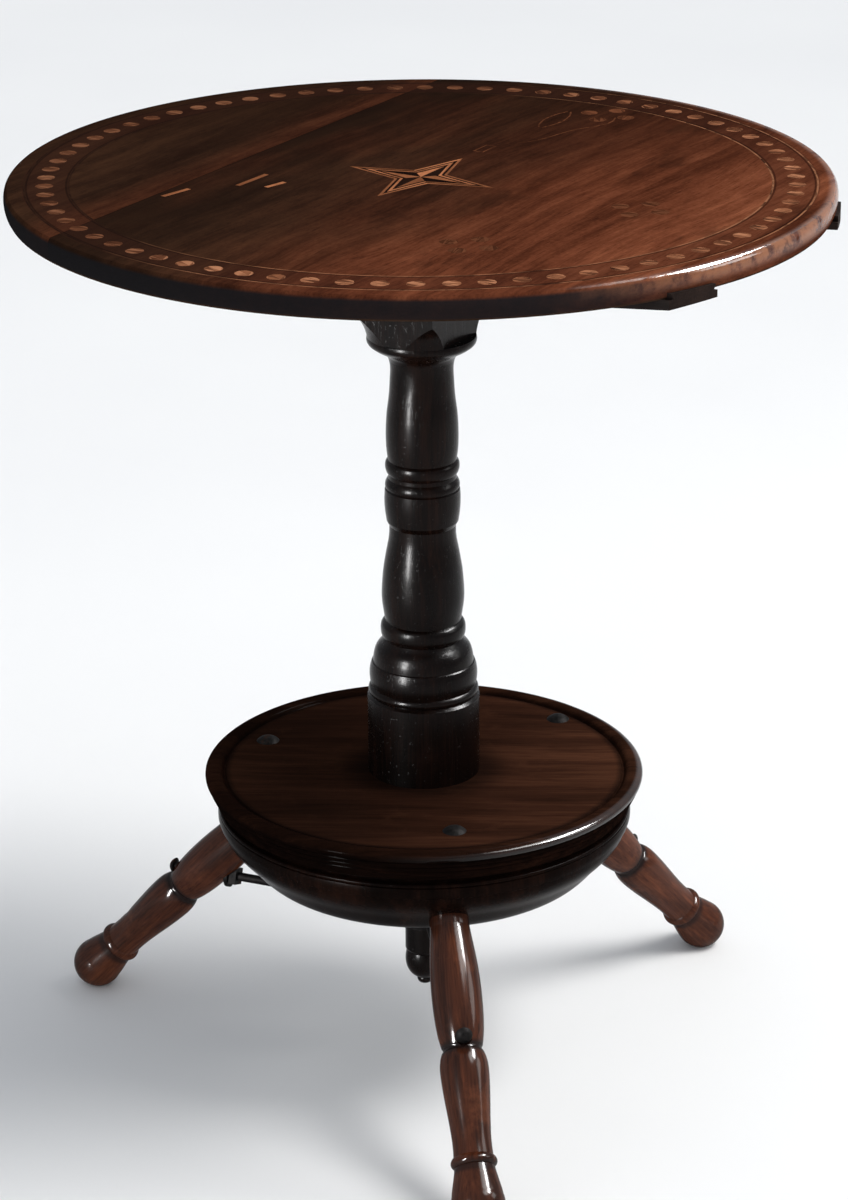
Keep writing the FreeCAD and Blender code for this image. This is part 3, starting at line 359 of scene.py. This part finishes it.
def leg_wood():
    """Red-brown polished legs, with painted shade in the turned grooves, by the bead and at the root, and
    darker on the feet.
    """
    f = Finish("leg_wood", Specular_IOR_Level=0.0, Coat_Weight=0.30, Coat_Roughness=0.14)
    radius = f.radius()
    sine, cosine = math.sin(LEG_SLOPE), math.cos(LEG_SLOPE)
    along = radius * cosine + (LEG_APEX - f.z) * sine
    cross = radius * sine - (LEG_APEX - f.z) * cosine
    swing = f.y.math("ARCTAN2", f.x) * 0.2
    grain = Grain(f, along, cross, swing, 8.4, wander=0.006)
    tone = grain.bands * 0.45 + grain.streaks * 0.35 + grain.fibres * 0.2
    colour = f.ramp(tone, [
        (0.32, (0.006, 0.0027, 0.0019)), (0.45, (0.025, 0.0080, 0.0042)),
        (0.56, (0.070, 0.0205, 0.0092)), (0.68, (0.165, 0.050, 0.0210))])
    colour = f.mix(grain.pores * 0.5, colour, (0.008, 0.004, 0.003))
    rub = f.noise(f.place, scale=19.0, detail=5.0, roughness=0.7)
    colour = f.mix(rub.rise(0.52, 0.72) * 0.45, colour, (0.16, 0.050, 0.022))
    # painted shade: darker in the groove, by the bead and at the root, where shade falls
    groove = abs(along - LEG_GROOVE).rise(0.0065, 0.0015)
    bead = abs(along - LEG_BEAD).rise(0.006, 0.0015)
    root = along.rise(*LEG_ROOT)
    grime_and_shade = (groove * 0.9).larger(bead * 0.7).larger(root * 0.5)
    foot = along.rise(*LEG_FOOT) * (0.45 + rub * 0.6)
    colour = f.mix(grime_and_shade, colour, (0.008, 0.005, 0.0045))
    colour = f.mix(foot * 0.6, colour, (0.022, 0.0105, 0.0075))
    pits = f.noise(f.place, scale=260.0, detail=2.0).rise(0.64, 0.74)
    rough = 0.22 + rub * 0.16 + pits * 0.14 + grime_and_shade * 0.2 + foot * 0.12
    height = grain.fibres * 0.3 - pits * 0.7 - grain.pores * 0.35 + rub * 0.8
    f.feed(Base_Color=colour, Roughness=rough, Normal=f.bump(height, 0.00022))
    return f.material


def plain_wood(name, dark, light, along, across, seed, roughness=0.55):
    """Unpolished wood for battens, pegs and the button."""
    f = Finish(name, Specular_IOR_Level=0.02)
    grain = Grain(f, getattr(f, along), getattr(f, across), f.z, seed)
    tone = grain.bands * 0.4 + grain.streaks * 0.35 + grain.fibres * 0.25
    colour = f.ramp(tone, [(0.32, dark), (0.66, light)])
    colour = f.mix(grain.pores * 0.6, colour, dark)
    soil = f.noise(f.place, scale=30.0, detail=5.0, roughness=0.7)
    colour = f.mix(soil.rise(0.5, 0.7) * 0.4, colour, dark)
    rough = roughness + soil * 0.2
    height = grain.fibres * 0.5 - grain.pores * 0.6 + soil * 0.3
    f.feed(Base_Color=colour, Roughness=rough, Normal=f.bump(height, 0.0003))
    return f.material


def inlay(name, shades, fade, painted_shade_left=0.0):
    """Thin inlaid wood. Each let-in piece takes its own shade, and with painted_shade_left
    the pieces on the top's dark side take painted shade, as the boards do."""
    f = Finish(name, Specular_IOR_Level=0.0)
    lot = f.node("ShaderNodeNewGeometry", {}, [], "Random Per Island")
    patch = f.noise(f.place, scale=5.5, detail=2.0)
    grain = Grain(f, f.x, f.y, f.z, 5.5)
    shade = lot * 0.50 + patch * 0.50 + (grain.streaks - 0.5) * 0.30
    colour = f.ramp(shade, shades)
    colour = f.mix(grain.pores * 0.4, colour, shades[0][1])
    rubbed = f.noise(f.place, scale=90.0, detail=4.0, roughness=0.7).rise(0.5, 0.68)
    # painted shade: pieces on the top's left are made darker, like the boards
    dark_side = ((patch - 0.5) * 0.3 - f.y).rise(0.10, -0.12)
    colour = f.mix((rubbed * fade).larger(dark_side * painted_shade_left), colour, shades[0][1])
    rough = 0.36 + rubbed * 0.2
    height = grain.fibres * 0.4 - rubbed * 0.5
    f.feed(Base_Color=colour, Roughness=rough, Normal=f.bump(height, 0.00015))
    return f.material


def wrought_iron():
    """Blackened hand-worked iron with hammer flats and a little rust."""
    f = Finish("wrought_iron", Metallic=0.2, Specular_IOR_Level=0.015)
    hammer = f.node("ShaderNodeTexVoronoi", {}, {"Vector": f.place, "Scale": 260.0}, "Distance")
    mottle = f.noise(f.place, scale=150.0, detail=5.0, roughness=0.7)
    rust = f.noise(f.place, scale=48.0, detail=5.0, roughness=0.65).rise(0.55, 0.70)
    colour = f.ramp(mottle, [(0.35, (0.004, 0.0038, 0.0038)), (0.65, (0.016, 0.0145, 0.0140))])
    colour = f.mix(rust * 0.55, colour, (0.050, 0.020, 0.010))
    rough = 0.42 + mottle * 0.25 + rust * 0.25
    f.feed(Base_Color=colour, Roughness=rough, Normal=f.bump(hammer * 0.6 + mottle * 0.4, 0.0004))
    return f.material


DOT_SHADES = [(0.22, (0.034, 0.0125, 0.0068)), (0.40, (0.105, 0.038, 0.0190)),
              (0.56, (0.230, 0.088, 0.0420)), (0.78, (0.400, 0.175, 0.0900))]
FADED_SHADES = [(0.2, (0.030, 0.0100, 0.0052)), (0.7, (0.125, 0.0430, 0.0200))]
LINE_SHADES = [(0.2, (0.012, 0.0060, 0.0042)), (0.6, (0.250, 0.105, 0.052))]
STAR_SHADES = [(0.2, (0.090, 0.030, 0.013)), (0.75, (0.400, 0.150, 0.066))]
DARK_SHADES = [(0.2, (0.0030, 0.0020, 0.0016)), (0.7, (0.0160, 0.0072, 0.0048))]


def finish_nodes():
    """Every CAD node gets its finish."""
    dark_turning = turned_wood("dark_turned_wood", 0.075)
    platform = platform_wood()
    iron = wrought_iron()
    leg = leg_wood()
    top = walnut_top()
    dots = inlay("inlay_dots", DOT_SHADES, 0.40, 0.55)
    faded = inlay("inlay_faded", FADED_SHADES, 0.6)
    lines = inlay("inlay_lines", LINE_SHADES, 0.6, 0.95)
    star = inlay("inlay_star", STAR_SHADES, 0.35)
    batten = plain_wood("batten_wood", (0.0060, 0.0045, 0.0042), (0.030, 0.018, 0.014), "y", "x", 2.2)
    finishes = {
        "top_board_left": top, "top_board_middle": top, "top_board_right": top,
        "inlay_rim_dots": dots, "inlay_flowers": faded, "inlay_dashes": star,
        "inlay_leaf": faded, "inlay_outer_line": lines, "inlay_inner_line": lines,
        "inlay_star_light": star, "inlay_star_dark": inlay("inlay_dark", DARK_SHADES, 0.3),
        "batten_near": batten, "batten_far": batten,
        "batten_pegs": plain_wood("peg_wood", (0.02, 0.012, 0.008), (0.09, 0.05, 0.028), "z", "x", 4.0),
        "turn_button": plain_wood(
            "button_wood", (0.02, 0.009, 0.006), (0.085, 0.034, 0.018), "x", "y", 9.0, 0.4),
        "pillar": dark_turning, "pendant": dark_turning,
        "platform_disc": platform, "platform_bowl": turned_wood("bowl_wood", 0.012),
        "leg_front": leg, "leg_right": leg, "leg_left": leg,
    }
    for name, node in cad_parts.items():
        node.data.materials.clear()
        node.data.materials.append(finishes.get(name, iron))


def soften_nodes():
    """Small worn roundings on the sawn and forged pieces."""
    widths = {"batten_near": 0.0012, "batten_far": 0.0012, "turn_button": 0.0010,
              "tie_nuts": 0.0008, "keeper": 0.0006, "tie_washers": 0.0005}
    for name, width in widths.items():
        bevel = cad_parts[name].modifiers.new("worn_edges", "BEVEL")
        bevel.width = width
        bevel.segments = 2
        bevel.limit_method = "ANGLE"
        bevel.angle_limit = math.radians(40)


# ---- studio ----------------------------------------------------------------
def studio_floor():
    """A wide pale floor."""
    mesh = bpy.data.meshes.new("studio_floor")
    shape = bmesh.new()
    bmesh.ops.create_circle(shape, cap_ends=True, segments=96, radius=14.0)
    shape.to_mesh(mesh)
    shape.free()
    floor = bpy.data.objects.new("studio_floor", mesh)
    bpy.context.scene.collection.objects.link(floor)
    f = Finish("floor_paper", Specular_IOR_Level=0.2)
    cloudy = f.noise(f.place, scale=1.2, detail=3.0)
    f.feed(Base_Color=f.ramp(cloudy, [(0.3, (0.77, 0.77, 0.77)), (0.7, (0.80, 0.80, 0.795))]),
           Roughness=0.75 + cloudy * 0.1)
    mesh.materials.append(f.material)


def soft_light(name, place, aim, width, height, power, colour, lights_matt=True):
    """An area light facing a point; with lights_matt off it only makes highlights."""
    data = bpy.data.lights.new(name, "AREA")
    data.shape = "RECTANGLE"
    data.size, data.size_y = width, height
    data.energy = power
    data.color = colour
    light = bpy.data.objects.new(name, data)
    light.location = place
    light.rotation_euler = (Vector(aim) - Vector(place)).to_track_quat("-Z", "Y").to_euler()
    light.visible_diffuse = lights_matt
    bpy.context.scene.collection.objects.link(light)


def around(heading, distance, height):
    """A place by its heading from +X in degrees, level distance and height."""
    turn = math.radians(heading)
    return (distance * math.cos(turn), distance * math.sin(turn), height)


def sun_lamp(name, heading, height, width, strength, colour):
    """A far, round, soft source, placed by heading and height in degrees."""
    data = bpy.data.lights.new(name, "SUN")
    data.energy = strength
    data.angle = math.radians(width)
    data.color = colour
    lamp = bpy.data.objects.new(name, data)
    lamp.rotation_euler = Vector(around(heading, math.cos(math.radians(height)),
                                        math.sin(math.radians(height)))).to_track_quat("Z", "Y").to_euler()
    bpy.context.scene.collection.objects.link(lamp)


def studio_lights():
    """Soft light from the right and above, and two lamps that only make highlights."""
    soft_light("key", around(-60, 1.7, 3.0), (0, 0, 0.5), 2.6, 0.5, 24.0, (1.0, 0.985, 0.96))
    soft_light("low_fill", around(-62, 2.6, 1.5), (0, 0, 0.35), 1.0, 0.8, 20.0, (1.0, 0.985, 0.96))
    sun_lamp("daylight", -70, 60, 24, 1.50, (1.0, 0.99, 0.975))
    soft_light("glint", around(-50, 1.8, 2.2), (0, 0, 0.6), 1.3, 0.5, 250.0, (1.0, 1.0, 1.0), False)
    soft_light("panel", around(167, 2.4, 0.75), (0, 0, 0.45), 0.26, 1.1, 230.0, (1.0, 1.0, 1.0), False)
    world = bpy.data.worlds.new("studio")
    bpy.context.scene.world = world
    world.use_nodes = True
    background = world.node_tree.nodes["Background"]
    background.inputs["Color"].default_value = (0.90, 0.94, 1.0, 1.0)
    background.inputs["Strength"].default_value = 0.67


def studio_camera():
    data = bpy.data.cameras.new("camera")
    data.sensor_width = 36.0
    data.lens = CAMERA_LENS
    camera = bpy.data.objects.new("camera", data)
    camera.location = CAMERA_PLACE
    level = Vector((math.cos(CAMERA_HEADING), math.sin(CAMERA_HEADING), 0))
    look = level * math.cos(CAMERA_PITCH) - Vector((0, 0, math.sin(CAMERA_PITCH)))
    turn = look.to_track_quat("-Z", "Y").to_matrix().to_4x4()
    camera.rotation_euler = turn.to_euler()
    camera.rotation_euler.rotate_axis("Z", CAMERA_ROLL)
    bpy.context.scene.collection.objects.link(camera)
    bpy.context.scene.camera = camera


studio_camera()
studio_floor()
studio_lights()
bpy.context.scene.view_settings.view_transform = "Standard"
finish_nodes()
soften_nodes()
